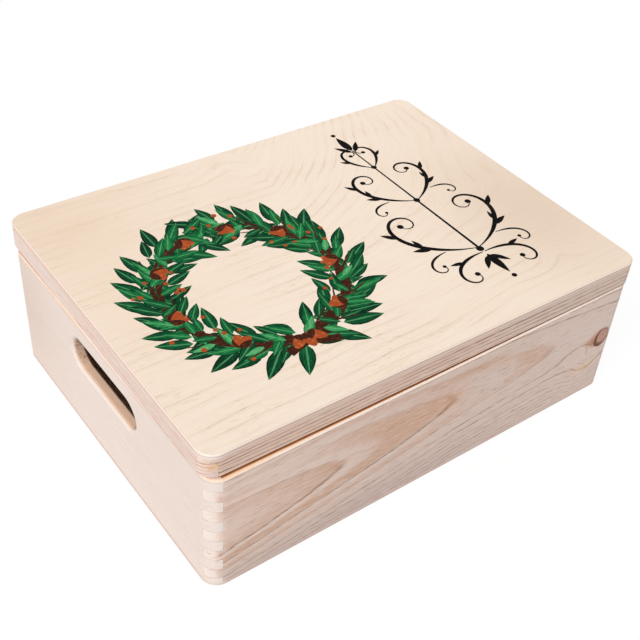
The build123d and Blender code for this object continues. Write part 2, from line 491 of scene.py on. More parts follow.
def hole_marks(face):
    """The rounded lip of a hand hole with painted tan shade on it, stronger where the lip faces up, and the
    speckled end grain at its two ends.
    """
    inside = face.w.step(-0.5, -2.6) * face.outward.step(0.85, 0.4)
    near = face.bell(*face.wood["hole"]).step(0.0, 0.1)
    lip = (face.upward * 0.3 + face.fibre * 0.6 + 0.6).within(0, 1)
    face.lay(HOLE_LIP_SHADE, inside * near * lip)
    speckle = face.blots((1.3, 1.3, 2.6), 41).step(-0.1, 0.45)
    ends = face.endward.step(0.25, 0.7) * inside * near
    face.lay(HOLE_END, ends * (speckle * 0.7 + 0.2))


def seams(face):
    """Thin glue lines between the fingers at both ends of a board."""
    joint = face.wood["joint"]
    height = face.v + joint["middle"]
    rows = (height - joint["first"]) / joint["pitch"]
    across = (0.5 - abs(rows.fraction() - 0.5)) * joint["pitch"]
    level = across.step(0.42, 0.1) * height.step(joint["lowest"], joint["lowest"] + 1)
    level = level * height.step(joint["highest"], joint["highest"] - 1)
    from_end = abs(face.u) - joint["reach"]
    upright = abs(from_end).step(0.5, 0.12)
    theirs = (rows * 0.5 + joint["turn"]).fraction().step(0.47, 0.53)
    return (level * from_end.step(-0.15, 0.15)).at_least(upright * theirs)


MARKS = (
    ("knot", knot_marks), ("end", end_marks), ("rim", rim_light_marks),
    ("scorched_foot", foot_marks), ("rim_line", rim_line), ("hole", hole_marks),
)


def pine(name, board, wood):
    """Sawn and sanded pine, with the figure, colours, knot and finger joints that wood describes."""
    face = PineFace(name, board, wood)
    sawn_colour(face)
    for part, marks in MARKS:
        if wood[part]:
            marks(face)
    gap = seams(face)
    worn = face.blots((9, 9, 9), 29).step(-0.5, 0.5)
    face.lay(SEAM, gap * (worn * 0.42 + 0.06))
    face.relief(face.fibre * 0.4 + face.grain * 0.4 - face.line * 0.5 - gap * 1.2, strength=0.3, depth=0.12)
    return face.finish(0.62 + face.grain * 0.06 - face.fill * 0.08, PINE_GLOSS)


def wall_joint(node, turn):
    """Where the fingers of a carcass wall lie; turn says which rows belong to its neighbour."""
    low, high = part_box(node)
    length = max(high.x - low.x, high.y - low.y) / MM
    return {
        "middle": (low.z + high.z) / 2 / MM, "first": FIRST_JOINT, "pitch": FINGER_PITCH, "turn": turn,
        "reach": length / 2 - WALL + 0.35, "lowest": low.z / MM + 1, "highest": high.z / MM - 1,
    }


def rail_joint(length, turn):
    """Where the one joint line of a lid rail lies."""
    return {
        "middle": 9.0, "first": LID_JOINT, "pitch": 18.0, "turn": turn,
        "reach": length / 2 - RAIL, "lowest": 1.0, "highest": 17.5,
    }


# What every board has unless it says otherwise. Places are in millimetres from the middle of the
# outer face, along the board and across it. Swells are (middle, half size, lift of the growth
# lines), quiet parts (middle, half size, share), patches (middle, half size, colour, share), a knot
# and a hole (middle, half size). The rim's pairs, for the painted highlight and painted warm glow on
# its lip, run from a board's start to its end, and its line is (edge at the start, edge at the end,
# how dark its painted shade, how warm its painted glow). The foot is how strong the painted shade on
# a rail's lower arris is.
COMMON = {
    "grey": GREYED, "light": LIGHT, "dashes": 1.1, "amber": 0.5, "even": 0.6, "phase": 0.0,
    "wave": 1.6, "jag": 0.45, "swells": [], "quiet": [], "patches": [], "knot": None, "hole": None,
    "end_low": None, "end_share": 1.0, "corner": None,
    "rim": (0.0, 0.0), "pale_rim": (0.0, 0.0), "rim_line": None, "scorched_foot": 0.0,
}

# Each ring: where along the board its flame ends, how wide its brown or its line is, and how strong
FRONT_WALL = {
    **COMMON, "figure": flames, "seed": 1.0, "dashes": 1.2,
    "pale": (228, 205, 193), "tan": (215, 174, 148), "line_colour": (134, 96, 74),
    "grey": (212, 192, 182), "light": (244, 231, 222), "rag": 8.0,
    "height": 18.8, "bend": 20, "lean": 0.079, "dive": 0.121, "spread": 5.76,
    "fills": [
        (-90, 110, 0.75), (15, 82, 0.95, 0.8), (118, 80, 0.7, 0.3), (250, 70, 0.2), (350, 50, 0.2),
        (498, 60, 0.15), (590, 40, 0.15), (685, 40, 0.15), (771, 30, 0.15), (863, 30, 0.15),
    ],
    "lines": [
        (-90, 9, 0.95), (15, 10, 1.0), (118, 9, 0.35), (250, 11, 0.95), (350, 13, 0.85),
        (420, 12, 0.25), (498, 16, 0.8), (590, 16, 0.65), (685, 18, 0.75), (771, 18, 0.65),
        (863, 20, 0.7), (960, 20, 0.6), (1060, 22, 0.7),
    ],
    "quiet": [((-142, 36), (58, 9), 0.95), ((50, 14), (32, 14), 0.9)],
    "swells": [((151, 1), (22, 9), 9), ((170, -32), (26, 24), -14), ((-85, 44), (75, 18), 5)],
    "patches": [
        ((-25, 20), (42, 14), (216, 166, 134), 0.75),
        ((8, 18), (12, 8), ORANGE, 0.5),
        ((-99, 11), (14, 5), (208, 148, 114), 0.75),
        ((165, -25), (14, 3), (236, 196, 140), 0.6),
        # Painted light: paler towards the rounded corner, on the side the key light comes from
        ((-185, 10), (110, 70), (248, 222, 206), 0.75),
        ((-60, -55), (160, 24), (208, 186, 177), 0.9),
        ((30, 40), (38, 4), (206, 170, 148), 0.7),
        ((93, 23), (15, 9), (210, 176, 156), 0.55),
        # Painted shade: a darker strip along the rim's arris, which dims the light it catches
        ((70, 55), (150, 2.2), (206, 182, 168), 0.8),
    ],
    "knot": ((180.3, 2.6), (8.3, 9.6)),
    # The corner colour is a painted highlight on the rounded corner, which catches the key light
    "end": (240, 226, 216), "end_share": 0.6, "corner": (247, 233, 224),
    # The rim's values set its painted highlight, painted warm glow and painted shade strip
    "rim": (0.3, -1.6), "pale_rim": (0.8, 0.1), "rim_line": (-3.3, 0.1, 1.0, 0.7),
    "joint": wall_joint("front_wall", 0.0),
}
BACK_WALL = {
    **FRONT_WALL, "seed": 21.0, "height": -12, "bend": -40, "lean": -0.05,
    "swells": [((-60, 10), (60, 30), 6)], "patches": [], "quiet": [], "rim_line": None,
    "knot": ((-92, 24), (6, 7)), "joint": wall_joint("back_wall", 0.0),
}
SIDE_WALL = {
    **COMMON, "figure": straight, "seed": 5.0, "spacing": 5.2, "lean": 0.8, "fill": 0.16, "line": 0.14,
    "pale": (238, 222, 212), "tan": (226, 190, 166), "line_colour": (202, 168, 146),
    "grey": (229, 212, 202), "light": (248, 236, 228), "dashes": 0.35,
    "patches": [((-145, 5), (60, 70), (224, 202, 188), 0.8)],
    "end": (246, 234, 227), "end_share": 0.6, "rim": (0.1, 0.25), "pale_rim": (0.3, 0.3),
    "rim_line": (-0.8, 1.8, 0.45, 0.55), "hole": ((0, 22), (60, 24)),
    "joint": wall_joint("left_wall", 0.5),
}
RIGHT_WALL = {**SIDE_WALL, "seed": 25.0, "line": 0.4, "patches": [], "rim_line": None}
RAIL_LONG = {
    **COMMON, "figure": straight, "seed": 9.0, "spacing": 3.4, "lean": 0.3, "fill": 0.3, "line": 1.0,
    "wave": 0.6, "jag": 0.12, "phase": 0.5, "even": 0.75,
    "pale": (234, 204, 186), "tan": (214, 170, 144), "line_colour": (112, 74, 52),
    "end": (244, 222, 204), "scorched_foot": 0.6, "quiet": [((200, 0), (120, 400), 0.4)],
    "patches": [((160, 0), (140, 60), (218, 196, 182), 0.75)],
    "joint": rail_joint(400, 0.0),
}
RAIL_SHORT = {
    **RAIL_LONG, "seed": 35.0, "amber": 1.0, "scorched_foot": 0.0, "patches": [],
    "pale": (236, 217, 206), "tan": (236, 194, 166), "line_colour": (200, 126, 92),
    "end": (238, 194, 156), "end_low": (228, 206, 198), "end_share": 0.85,
    "quiet": [((-110, 0), (110, 400), 0.6)], "joint": rail_joint(300, 0.5),
}

BOARDS = {
    "front_wall": (NO_TURN, RIGHT, -BACK, FRONT_WALL),
    "back_wall": (NO_TURN, -RIGHT, BACK, BACK_WALL),
    "left_wall": (NO_TURN, -BACK, -RIGHT, SIDE_WALL),
    "right_wall": (NO_TURN, BACK, RIGHT, RIGHT_WALL),
    "lid_front_rail": (LID_TURN, RIGHT, -BACK, RAIL_LONG),
    "lid_back_rail": (LID_TURN, -RIGHT, BACK, {**RAIL_LONG, "seed": 31.0, "scorched_foot": 0.0}),
    "lid_left_rail": (LID_TURN, -BACK, -RIGHT, RAIL_SHORT),
    "lid_right_rail": (LID_TURN, BACK, RIGHT, {**RAIL_SHORT, "seed": 39.0}),
}

# ---------------------------------------------------------------- plywood

PLY_FACE = (247, 229, 210)
PLY_STREAK = (204, 170, 136)
PLY_STAIN = (206, 164, 124)
PLY_LIGHT = (250, 236, 220)
PLY_EDGE = (240, 218, 204)
FOOT_EDGE = (228, 205, 193)
PLY_GLUE = (120, 84, 66)
# Painted light: the paler glue on edges lit by the key light
PLY_GLUE_LIT = (196, 132, 100)
# Painted highlight: the white laid at the near corner
PLY_HIGHLIGHT = (250, 244, 238)
# Painted shade laid on the arris that faces the key light
PLY_ARRIS_SHADE = (222, 200, 186)
PLY_CORE = (216, 186, 170)
PLY_THICKNESS = 1.33
PLY_GLOSS = 0.4
VENEER_RING = 9.5
WAVES_FROM = 5
# Places as in the boards' own lists
PLY_SWELLS = (((-15, 138), (22, 26), 16), ((148, -106), (20, 13), 13), ((-60, 150), (50, 14), -5))
PLY_STAINS = (
    ((-178, 143), (26, 6)), ((-100, 137), (50, 6)), ((-158, 110), (16, 7)), ((-18, 138), (8, 14)),
)
PLY_PATCHES = (
    ((175, -50), (70, 100), (225, 202, 180), 0.85),
    ((-175, 115), (90, 60), (236, 211, 187), 0.7),
    ((-165, 10), (50, 80), (238, 212, 186), 0.4),
)
# Painted highlight at the near corner, where the light falls
HIGHLIGHT_CORNER = ((-196, -148), (14, 11))


def ply_edge(face, colour, streak):
    """The plies along a sheet's edges, with dark glue between them, painted paler on edges that face left
    into the key light, and a painted highlight at one corner.
    """
    plies = (face.w * -1 / PLY_THICKNESS).fraction()
    odd = (face.w * -0.5 / PLY_THICKNESS + 0.02).fraction().step(0.48, 0.52)
    edge = face.plain(colour).tint(PLY_CORE, odd * (streak * 0.4 + 0.75))
    # Painted light: glue lines on edges that face left, into the key light, are laid paler
    glue = face.plain(PLY_GLUE).tint(PLY_GLUE_LIT, face.facing(-RIGHT).step(0.75, 0.97))
    edge = edge.tint(glue, plies.ramp([(0.0, 0.7), (0.14, 0.0), (0.84, 0.0), (1.0, 0.7)]))
    # Painted highlight: the plies at the near corner are laid white
    return edge.tint(PLY_HIGHLIGHT, face.bell(*HIGHLIGHT_CORNER) * 0.5)


def plywood(name, board, edge_colour, seed):
    """A peeled face veneer with its broad wavy figure, and the plies showing along the edges."""
    face = Face(name, board, seed)
    far = (face.u - WAVES_FROM).at_least(0)
    slope = ((face.v + 70) * 0.0046).at_least(0.08)
    rise = far * slope * -1 + face.blots((120, 60, 60), 0) * (far * 0.03 + 6)
    for middle, half, lift in PLY_SWELLS:
        rise = rise - face.bell(middle, half) * lift
    rise = rise + face.blots((60, 18, 18), 2) * 2.2
    rise = rise + face.blots((9, 3, 3), 3) * 0.5
    lie = face.v + rise
    figure = (lie / VENEER_RING).fraction()
    figure = figure.ramp([(0.0, 0.5), (0.04, 0.08), (0.55, 0.0), (0.86, 0.35), (0.96, 1.0), (1.0, 0.5)])
    show = face.blots((80, 24, 24), 5).step(-0.3, 0.45)
    dash = face.blots((10, 0.7, 0.7), 8, lie).step(0.14, 0.5) * show
    streak = face.blots((30, 0.7, 0.7), 9, lie, detail=3.0)
    haze = face.blots((130, 45, 45), 12)
    brown = face.blots((34, 6, 6), 15, lie).step(0.2, 0.7)

    face.base(PLY_FACE)
    plain_side = face.u.step(60, -60) * 0.6 + 0.4
    amount = figure * show * 0.42 + dash * plain_side * 0.9
    amount = amount + (streak * 0.3).at_least(0) + (haze * 0.1).at_least(0)
    face.lay(PLY_STREAK, (amount + brown * 0.12).at_most(1.0))
    face.lay(PLY_LIGHT, (streak * -0.35).within(0, 0.5))
    for middle, half, tone, share in PLY_PATCHES:
        face.lay(tone, face.bell(middle, half) * share)
    ragged = (brown * 0.7 + streak * 0.4 + dash * 0.3 + 0.1).within(0, 1)
    for middle, half in PLY_STAINS:
        face.lay(PLY_STAIN, face.bell(middle, half) * ragged * 0.8)

    level = abs(face.facing(face.out))
    # Painted shade: the arris on the side the key light falls on is darkened
    face.lay(PLY_ARRIS_SHADE, level.step(0.98, 0.9) * face.facing(-RIGHT).step(0.15, 0.4) * 0.7)
    face.lay(ply_edge(face, edge_colour, streak), level.step(0.9, 0.6))
    face.relief(streak * 0.6 - dash * 0.6, strength=0.2, depth=0.1)
    return face.finish(0.55 + streak * 0.05, PLY_GLOSS)


# ---------------------------------------------------------------- brass

BRASS = (214, 176, 104)
TARNISH = (150, 112, 58)


def brass(name, seed):
    """Plated sheet, bright, with a rolled grain and slight tarnish."""
    face = Face(name, (Vector((0, 0, 0)), RIGHT, BACK, UP), seed)
    roll = face.blots((14, 0.2, 0.2), 0)
    stain = face.blots((5, 5, 5), 4)
    face.base(BRASS)
    face.lay(TARNISH, stain.step(0.1, 0.9) * 0.5)
    return face.finish(0.3 + roll * 0.06 + stain * 0.05, metallic=1.0)


def dress(node, material):
    """Gives a CAD node its material."""
    for slot in nodes[node].material_slots:
        slot.material = material


for node, (turn, along, out, wood) in BOARDS.items():
    dress(node, pine("pine_" + node, board_frame(node, turn, along, out), wood))

PANEL = board_frame("lid_top_panel", LID_TURN, RIGHT, UP)
FOOT = board_frame("bottom_panel", NO_TURN, RIGHT, UP)
dress("lid_top_panel", plywood("plywood_lid", PANEL, PLY_EDGE, 2.0))
dress("bottom_panel", plywood("plywood_bottom", FOOT, FOOT_EDGE, 4.0))
for node in nodes:
    if node.startswith("hinge"):
        dress(node, brass("brass_" + node, 1.0))

# ---------------------------------------------------------------- the print on the lid

GREENS = [(6, 40, 24), (16, 84, 48), (34, 132, 70), (118, 196, 134)]
TWIG = (62, 30, 20)
TWIG_LIGHT = (132, 80, 52)
RUST = (168, 76, 38)
RUST_LIGHT = (220, 132, 78)
INK = (9, 7, 7)
INK_WORN = (44, 40, 38)
INK_ROUGHNESS = 0.6
INK_GLOSS = 0.03

# Where each drawing lies on the lid: the place of its middle, and its size
WREATH = (-80, -15, 1.0)
SCROLLS = (98, -4, 1.12)
RING = 70.0
SUNK = -0.1
TINY = 1e-6


def polar(angle, radius, middle=(0, 0)):
    """The place at an angle in degrees and a radius from a middle."""
    turn = math.radians(angle)
    return middle[0] + radius * math.cos(turn), middle[1] + radius * math.sin(turn)


def prism(mesh, outline, height):
    """Adds a flat closed shape to a bmesh, its top at a height and its foot sunk in the wood."""
    area = sum(a[0] * b[1] - b[0] * a[1] for a, b in zip(outline, outline[1:] + outline[:1]))
    if area < 0:
        outline = outline[::-1]
    top = [mesh.verts.new((x, y, height)) for x, y in outline]
    foot = [mesh.verts.new((x, y, SUNK)) for x, y in outline]
    mesh.faces.new(top)
    mesh.faces.new(foot[::-1])
    for i in range(len(outline)):
        mesh.faces.new((top[i - 1], foot[i - 1], foot[i], top[i]))


def ribbon(mesh, places, widths, height):
    """Adds a closed strip that follows places, as wide as widths say."""
    rows = []
    for i, (x, y) in enumerate(places):
        before, after = places[max(i - 1, 0)], places[min(i + 1, len(places) - 1)]
        run = math.hypot(after[0] - before[0], after[1] - before[1])
        aside_x = (before[1] - after[1]) / run * widths[i] / 2
        aside_y = (after[0] - before[0]) / run * widths[i] / 2
        left, right = (x + aside_x, y + aside_y), (x - aside_x, y - aside_y)
        corners = ((left, height), (right, height), (right, SUNK), (left, SUNK))
        rows.append([mesh.verts.new((*edge, level)) for edge, level in corners])
    for row, after in zip(rows, rows[1:]):
        for i in range(4):
            mesh.faces.new((row[i - 1], row[i], after[i], after[i - 1]))
    mesh.faces.new(rows[0][::-1])
    mesh.faces.new(rows[-1])


def disc(middle, radius, sides=20):
    return [polar(360 * k / sides, radius, middle) for k in range(sides)]


def half_leaf(width, share):
    """Half a leaf's width at a share of its length; it is widest two fifths of the way up."""
    return width / 2 * math.sin(math.pi * share ** 0.75) ** 0.9


def drop(base, heading, length, width, steps=8):
    """The outline of a leaf that is pointed at both ends and widest towards its stalk."""
    ahead = polar(heading, 1)
    shares = [k / steps for k in range(steps + 1)] + [k / steps for k in range(steps - 1, 0, -1)]
    outline = []
    for i, share in enumerate(shares):
        aside = half_leaf(width, share) * (1 if i <= steps else -1)
        x = base[0] + ahead[0] * length * share - ahead[1] * aside
        y = base[1] + ahead[1] * length * share + ahead[0] * aside
        outline.append((x, y))
    return outline


def mirrored(outline):
    return [(-x, y) for x, y in outline]


def mesh_from(name, mesh):
    """A mesh of a finished bmesh, its faces turned outwards."""
    bmesh.ops.recalc_face_normals(mesh, faces=mesh.faces)
    data = bpy.data.meshes.new(name)
    mesh.to_mesh(data)
    mesh.free()
    return data


def new_piece(name, data, material):
    """An object in the scene, made of one mesh in one material."""
    data.materials.clear()
    data.materials.append(material)
    piece = bpy.data.objects.new(name, data)
    bpy.context.scene.collection.objects.link(piece)
    return piece


def put_on_lid(name, data, drawing, material):
    """Lays a mesh drawn in millimetres on the lid's face."""
    x, y, size = drawing
    origin, along, across, out = PANEL
    turn = Matrix((along, across, out)).transposed().to_4x4()
    middle = Matrix.Translation(origin + (along * x + across * y) * MM)
    data.transform(middle @ turn @ Matrix.Scale(MM * size, 4))
    piece = new_piece(name, data, material)
    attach(piece, "lid")


def ink(name, colours, sizes, seed):
    """Printing ink laid over wood: brushed from one colour to another, with the fibre showing a little."""
    face = Face(name, PANEL, seed)
    brush = noise(face.u, face.v, face.w * 0, sizes, seed, detail=3.0)
    fibre = noise(face.u, face.v, face.w * 0, (26, 0.5, 0.5), seed + 3.0)
    face.base(colours[0])
    face.lay(colours[1], brush.step(0.0, 0.7))
    face.lay(PLY_STREAK, (fibre * 0.05 - 0.01).at_least(0))
    return face.finish(INK_ROUGHNESS, INK_GLOSS)


def leaf_ink(name):
    """Leaf greens, mixed by each leaf's shade, with a dark rim, a pale rib and brush strokes along it."""
    surface = Surface(name)
    shade = surface.place.node("ShaderNodeAttribute", {"attribute_name": "shade"}, output=2)
    spot = surface.place.node("ShaderNodeUVMap", {"uv_map": "UVMap"})
    along = spot.node("ShaderNodeSeparateXYZ", inputs={0: spot})
    across = along.beside(1)
    side = abs(across - 0.5) * 2
    strokes = noise(along, across, shade * 40, (0.3, 0.05, 1.0), 3.0)
    slant = noise(along - side * 0.25, side, shade * 50, (0.06, 1.2, 1.0), 7.0, detail=1.0)
    tone = (shade * 0.75 + strokes * 0.5 + slant * 0.22 + 0.08 - side.squared() * 0.2).within(0, 1)
    surface.colour = tone.ramp(list(zip((0.0, 0.3, 0.62, 1.0), GREENS)))
    surface.lay(GREENS[3], side.step(0.16, 0.04) * 0.45)
    surface.lay(GREENS[0], side.step(0.72, 1.0) * 0.75)
    return surface.finish(INK_ROUGHNESS, INK_GLOSS)


def leaf_mesh(length, width, steps=6, thickness=0.25):
    """A pointed leaf along X from its stalk, with its rib as a row of places for the UVs."""
    mesh = bmesh.new()
    top, foot = [], []
    for height, rows in ((0.0, top), (-thickness, foot)):
        stalk = mesh.verts.new((0, 0, height))
        tip = mesh.verts.new((length, 0, height))
        for side in (1, 0, -1):
            row = []
            for k in range(1, steps):
                aside = side * half_leaf(width, k / steps)
                row.append(mesh.verts.new((length * k / steps, aside, height)))
            rows.append([stalk] + row + [tip])
    for rows in (top, foot):
        for a, b in ((rows[0], rows[1]), (rows[1], rows[2])):
            for k in range(steps):
                corners = []
                for vertex in (a[k], b[k], b[k + 1], a[k + 1]):
                    if vertex not in corners:
                        corners.append(vertex)
                mesh.faces.new(corners)
    for side in (0, 2):
        for k in range(steps):
            mesh.faces.new((top[side][k], top[side][k + 1], foot[side][k + 1], foot[side][k]))
    bmesh.ops.recalc_face_normals(mesh, faces=mesh.faces)
    layer = mesh.loops.layers.uv.new("UVMap")
    for face in mesh.faces:
        for loop in face.loops:
            x, y, z = loop.vert.co
            at_point = x < TINY or x > length - TINY
            share = 0.5 if at_point else y / half_leaf(width, x / length) / 2 + 0.5
            loop[layer].uv = (x / length, share)
    return mesh_from("leaf", mesh)


class Tree:
    """A Geometry Nodes group under construction."""

    def __init__(self, name, inputs):
        self.group = bpy.data.node_groups.new(name, "GeometryNodeTree")
        self.group.interface.new_socket("Geometry", in_out="INPUT", socket_type="NodeSocketGeometry")
        self.keys = {}
        for label, (kind, value) in inputs.items():
            socket = self.group.interface.new_socket(label, in_out="INPUT", socket_type=kind)
            socket.default_value = value
            self.keys[label] = socket.identifier
        self.group.interface.new_socket("Geometry", in_out="OUTPUT", socket_type="NodeSocketGeometry")
        source = self.group.nodes.new("NodeGroupInput")
        self.given = {socket.name: Wire(self.group, socket) for socket in source.outputs if socket.name}

    def node(self, kind, settings=None, inputs=None, output=0):
        return self.given["Geometry"].node(kind, settings, inputs, output)

    def chance(self, low, high, seed):
        """A number between low and high of each point's own."""
        inputs = {2: low, 3: high, 8: seed}
        return self.node("FunctionNodeRandomValue", {"data_type": "FLOAT"}, inputs, output=1)

    def finish(self, geometry, material):
        """Ends the group with real geometry that has its material."""
        real = self.node("GeometryNodeRealizeInstances", inputs={0: geometry})
        dressed = self.node("GeometryNodeSetMaterial", inputs={"Geometry": real, "Material": material})
        end = self.group.nodes.new("NodeGroupOutput")
        self.group.links.new(dressed.socket, end.inputs[0])

    def bake(self, name, data, values):
        """The mesh that the group makes from a mesh and its named inputs."""
        holder = bpy.data.objects.new(name + "_maker", data)
        bpy.context.scene.collection.objects.link(holder)
        modifier = holder.modifiers.new(name, "NODES")
        modifier.node_group = self.group
        for label, value in values.items():
            modifier[self.keys[label]] = value
        graph = bpy.context.evaluated_depsgraph_get()
        made = bpy.data.meshes.new_from_object(holder.evaluated_get(graph))
        holder.modifiers.remove(modifier)
        bpy.data.objects.remove(holder)
        made.name = name
        return made


# Each set of leaves: how far out of the ring, share of the leaves, size, splay, shades and heights
LEAF_SETS = (
    (9, 1.0, 1.12, 1.25, (0.0, 0.3), (0.03, 0.05)),
    (-8, 0.8, 1.0, 1.3, (0.05, 0.4), (0.055, 0.07)),
    (6, 0.85, 0.95, 1.0, (0.2, 0.6), (0.075, 0.09)),
    (-4, 0.55, 0.85, 1.25, (0.25, 0.7), (0.097, 0.11)),
    (3, 0.45, 0.75, 1.3, (0.5, 1.0), (0.115, 0.13)),
)


def leaf_set(tree, seed, offset, share, size, wide, shades, heights):
    """One ring of leaves, growing up both sides and splayed in and out in turn."""
    inputs = {"Resolution": 128, "Radius": tree.given["Ring"] + offset}
    circle = tree.node("GeometryNodeCurvePrimitiveCircle", inputs=inputs)
    inputs = {"Curve": circle, "Count": tree.given["Leaves"] * share}
    points = tree.node("GeometryNodeCurveToPoints", {"mode": "COUNT"}, inputs)
    points = tree.node(
        "GeometryNodeStoreNamedAttribute", {"data_type": "FLOAT", "domain": "POINT"},
        {"Geometry": points, "Name": "shade", "Value": tree.chance(*shades, seed)},
    )
    shift = tree.node("ShaderNodeCombineXYZ", inputs={
        0: tree.chance(-2.5, 2.5, seed + 1), 1: tree.chance(-2.5, 2.5, seed + 2),
        2: tree.chance(*heights, seed + 3),
    })
    points = tree.node("GeometryNodeSetPosition", inputs={"Geometry": points, "Offset": shift})
    x = tree.node("ShaderNodeSeparateXYZ", inputs={0: tree.node("GeometryNodeInputPosition")})
    bearing = x.beside(1).math("ARCTAN2", x)
    turn = (tree.node("GeometryNodeInputIndex") * 0.5).fraction().math("GREATER_THAN", 0.25) * 2 - 1
    upward = bearing + math.pi / 2 + x.math("LESS_THAN", 0.0) * math.pi
    heading = upward + turn * tree.given["Splay"] * wide + tree.chance(-0.35, 0.35, seed + 4)
    return tree.node("GeometryNodeInstanceOnPoints", inputs={
        "Points": points, "Instance": tree.given["Geometry"],
        "Rotation": tree.node("ShaderNodeCombineXYZ", inputs={2: heading}),
        "Scale": tree.chance(size * 0.75, size * 1.15, seed + 5),
    })


def wreath_leaves(material):
    """Leaves round a ring in overlapping sets."""
    tree = Tree("wreath", {
        "Ring": ("NodeSocketFloat", 70.0), "Leaves": ("NodeSocketInt", 60),
        "Splay": ("NodeSocketFloat", 0.7), "Seed": ("NodeSocketInt", 1),
    })
    seed = tree.given["Seed"]
    sets = [leaf_set(tree, seed + number * 10, *values) for number, values in enumerate(LEAF_SETS)]
    joined = tree.group.nodes.new("GeometryNodeJoinGeometry")
    for grown in reversed(sets):
        tree.group.links.new(grown.socket, joined.inputs[0])
    tree.finish(Wire(tree.group, joined.outputs[0]), material)
    values = {"Ring": RING, "Leaves": 64, "Splay": 0.62, "Seed": 5}
    return tree.bake("wreath_leaves", leaf_mesh(length=26, width=10), values)


STEM_STEPS = 80
TWIG_STEPS = 9
TWIG_STEP = 3.3


def wreath_twigs():
    """Two stems that wind up each side of the ring and cross at its foot, with side twigs."""
    chance = random.Random(4)
    mesh = bmesh.new()
    for side in (1, -1):
        for strand, phase in ((0, 0.0), (1, 2.6)):
            places, widths = [], []
            for k in range(STEM_STEPS + 1):
                share = k / STEM_STEPS
                angle = -90 - 14 * side * (1 - share) ** 3 + side * (share * 172)
                sway = 2.6 * math.sin(share * 19 + phase + side)
                start = 15 * max(0.0, 1 - share * 9) * (0.6 + strand * 0.4)
                places.append(polar(angle, RING + sway + start))
                widths.append(5.4 * (1 - share) + 1.6)
            ribbon(mesh, places, widths, 0.092 + strand * 0.0015 + (side + 1) * 0.0005)
        for k in range(13):
            angle = -90 + side * (8 + k * 12.5 + chance.uniform(-3, 3))
            out = 1 if k % 2 else -1
            x, y = polar(angle, RING)
            heading = math.radians(angle) + side * math.pi / 2 - side * out * 0.6
            places = []
            for step in range(TWIG_STEPS):
                places.append((x, y))
                x += TWIG_STEP * math.cos(heading)
                y += TWIG_STEP * math.sin(heading)
                heading += side * out * 0.02
            ribbon(mesh, places, [2.4 - step * 0.2 for step in range(TWIG_STEPS)], 0.0912)
    return mesh


ACORN_ANGLES = (-90, -52, -128, -8, 188, 38, 142, 74, 106)


def acorn():
    """The outlines of a nut, which points along X, and of the cup that holds it."""
    nut, cup = [], []
    for k in range(20):
        turn = 2 * math.pi * k / 20
        ahead = 9.0 * math.cos(turn) * (1.0 if math.cos(turn) > 0 else 0.75)
        nut.append((ahead + 4, 4.6 * math.sin(turn) * (1 - 0.12 * math.cos(turn))))
    for k in range(15):
        turn = math.pi / 2 + math.pi * k / 14
        cup.append((4.6 * math.cos(turn) + 2.2, 5.6 * math.sin(turn)))
    return nut, cup + [(3.6, -2.0), (3.6, 2.0)]


def wreath_fruit():
    """Acorns in pairs, three at the foot, and berries between them; the cups are drawn apart."""
    nuts, cups = bmesh.new(), bmesh.new()
    nut, cup = acorn()
    chance = random.Random(11)
    height = 0.15
    for angle in ACORN_ANGLES:
        at_foot = angle == -90
        for side in (-1, 0, 1) if at_foot else (-1, 1):
            heading = math.radians(-90 + side * 48 if at_foot else angle + 180 + side * 50)
            x, y = polar(angle + side * 3, RING + 1)
            for outline, mesh, lift in ((nut, nuts, 0.0), (cup, cups, 0.001)):
                placed = [
                    (x + a * math.cos(heading) - b * math.sin(heading),
                     y + a * math.sin(heading) + b * math.cos(heading)) for a, b in outline
                ]
                prism(mesh, placed, height + lift)
            height += 0.002
    for k in range(34):
        angle = chance.uniform(0, 360)
        radius = RING + chance.choice((-1, 1)) * chance.uniform(6, 20)
        prism(nuts, disc(polar(angle, radius), chance.uniform(1.5, 2.3), 12), 0.142 + k * 0.0002)
    return nuts, cups


def spiral(start, heading, length, bend, power, curl, steps=36):
    """The places of a stroke that starts with one bend and tightens to another, in radians a millimetre."""
    x, y = start
    angle = math.radians(heading)
    places = [(x, y)]
    for step in range(steps):
        share = (step + 0.5) / steps
        angle += (bend + (curl - bend) * share ** power) * length / steps
        x += math.cos(angle) * length / steps
        y += math.sin(angle) * length / steps
        places.append((x, y))
    return places


# The right half of the scrollwork: each stroke's start, heading, length, first bend, how late it
# tightens, last bend, least and greatest width, the ball at its end, and its leaves
STROKES = (
    ((1.0, -60), 14, 118, 0.0125, 3.0, 0.21, 0.8, 3.6, 2.5,
     ((0.3, -24, 15), (0.36, 32, 11), (0.5, -34, 13))),
    ((0.9, -66), 4, 62, -0.016, 2.4, -0.25, 0.8, 2.8, 2.1, ((0.35, 34, 11),)),
    ((24, -52.6), -2, 42, -0.018, 2.0, -0.33, 0.7, 2.0, 1.5, ()),
    ((1.0, 8), 22, 92, 0.0145, 2.8, 0.25, 0.8, 3.2, 2.2, ((0.3, -24, 12), (0.37, 32, 9), (0.52, -34, 11))),
    ((20, 16.2), 4, 32, -0.022, 2.0, -0.39, 0.6, 1.8, 1.3, ()),
    ((0.9, 60), 38, 52, 0.019, 2.4, 0.34, 0.7, 2.6, 1.7, ((0.36, -28, 9),)),
)
LEAVES = ((1.5, 86, 52, 15, 4.4), (1.5, -71, 308, 15, 4.4))
SPINE = ((0, 88, 90, 22, 7), (0, -69, 270, 24, 6.5))
BALLS = ((113.5, 2.0), (-97, 2.0), (-62, 3.0), (8, 2.6), (60, 2.3))
STEM = [(-1.1, -62), (1.1, -62), (0.6, 88), (-0.6, 88)]
WIDEST = 0.35


